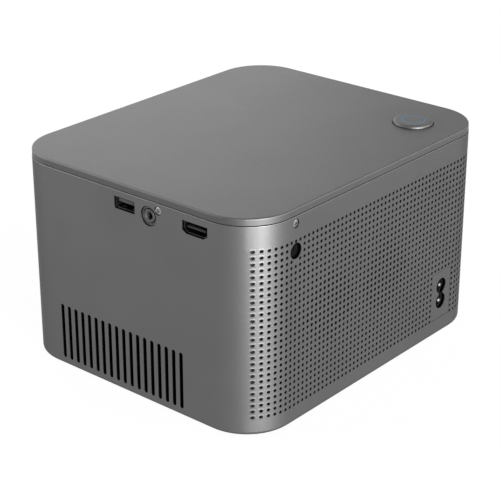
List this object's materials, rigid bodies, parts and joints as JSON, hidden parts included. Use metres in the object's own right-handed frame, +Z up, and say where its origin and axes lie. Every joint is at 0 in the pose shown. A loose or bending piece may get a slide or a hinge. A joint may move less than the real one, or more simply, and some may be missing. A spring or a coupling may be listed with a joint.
{
  "type": "video projector",
  "caption": "Desktop video projector: rounded metal case, perforated rear wall, side sockets and exhaust slots, one top button, fans, speakers and motor-focused lens.",
  "frame": {"origin": "centre of the case on the floor plane, under the feet", "axes": "+X towards the wall with the sockets and exhaust slots, +Y towards the perforated rear wall, +Z up; the lens looks along -Y"},
  "size_m": [0.18, 0.1504, 0.1088],
  "materials": {
    "shell_metal": "satin grey anodised",
    "cover_metal": "matte grey anodised",
    "dark_plastic": "matte",
    "jack_plastic": "matte grey",
    "tongue_plastic": "matte",
    "ring_blue": "satin translucent blue",
    "foot_rubber": "matte",
    "screw_steel": "bright",
    "socket_steel": "bright",
    "insert_brass": "machined",
    "pin_chrome": "polished",
    "board_green": "solder resist",
    "sink_aluminium": "bare",
    "core_ferrite": "matte",
    "window_black": "polished",
    "bezel_black": "satin",
    "lens_glass": "coated",
    "panel_glass": "polished",
    "cone_paper": "matte",
    "gear_plastic": "satin"
  },
  "bodies": {
    "case": {"main_shell": "shell_metal", "top_cover": "cover_metal", "base_plate": "dark_plastic", "foot_1": "foot_rubber", "foot_2": "foot_rubber", "foot_3": "foot_rubber", "foot_4": "foot_rubber", "base_screw_1": "screw_steel", "base_screw_2": "screw_steel", "base_screw_3": "screw_steel", "base_screw_4": "screw_steel", "case_screw_right": "screw_steel", "case_screw_left": "screw_steel", "case_screw_rear": "screw_steel", "tripod_insert": "insert_brass", "button_switch": "dark_plastic", "main_board": "board_green", "heat_spreader": "sink_aluminium", "usb_shell": "socket_steel", "usb_tongue": "tongue_plastic", "hdmi_shell": "socket_steel", "hdmi_tongue": "tongue_plastic", "audio_jack": "jack_plastic", "ir_window": "window_black", "ir_receiver": "dark_plastic", "inlet_plate": "shell_metal", "inlet_socket": "dark_plastic", "inlet_pin_1": "pin_chrome", "inlet_pin_2": "pin_chrome", "power_board": "board_green", "transformer": "core_ferrite", "capacitor": "dark_plastic", "fan_1_frame": "dark_plastic", "fan_2_frame": "dark_plastic", "engine_housing": "dark_plastic", "display_panel": "panel_glass", "condenser_lens": "lens_glass", "light_board": "sink_aluminium", "heat_sink": "sink_aluminium", "lens_sleeve": "dark_plastic", "focus_motor": "screw_steel", "lens_bezel": "bezel_black", "speaker_1_frame": "dark_plastic", "speaker_1_cone": "cone_paper", "speaker_2_frame": "dark_plastic", "speaker_2_cone": "cone_paper"},
    "button": {"power_button": "cover_metal", "button_ring": "ring_blue"},
    "fan_1": {"fan_1_rotor": "dark_plastic"},
    "fan_2": {"fan_2_rotor": "dark_plastic"},
    "focus_drive": {"focus_ring": "gear_plastic"},
    "pinion": {"focus_pinion": "gear_plastic"},
    "lens": {"lens_cell": "dark_plastic", "front_lens": "lens_glass", "rear_lens": "lens_glass"}
  },
  "joints": [
    {"name": "button_press", "type": "slide", "parent": "case", "child": "button", "axis": [0, 0, -1], "range_m": [0, 0.0007], "stiffness_N_per_m": 400, "springref_m": -0.0015},
    {"name": "fan_1_spin", "type": "hinge", "parent": "case", "child": "fan_1", "pos_m": [0.0833, -0.0263, 0.0264], "axis": [1, 0, 0], "continuous": true},
    {"name": "fan_2_spin", "type": "hinge", "parent": "case", "child": "fan_2", "pos_m": [0.0833, 0.0143, 0.0264], "axis": [1, 0, 0], "continuous": true},
    {"name": "focus_turn", "type": "hinge", "parent": "case", "child": "focus_drive", "pos_m": [0, -0.0433, 0.0536], "axis": [0, 1, 0], "range_deg": [-40, 40]},
    {"name": "pinion_turn", "type": "hinge", "parent": "case", "child": "pinion", "pos_m": [-0.02164, -0.043, 0.07524], "axis": [0, 1, 0], "range_deg": [-200, 200]},
    {"name": "lens_focus", "type": "slide", "parent": "case", "child": "lens", "axis": [0, 1, 0], "range_m": [-0.0015, 0.0015]}
  ],
  "couplings": [
    {"joint": "focus_turn", "follows": "lens_focus", "rad_per_m": 465.42},
    {"joint": "pinion_turn", "follows": "lens_focus", "rad_per_m": -2327.1}
  ]
}
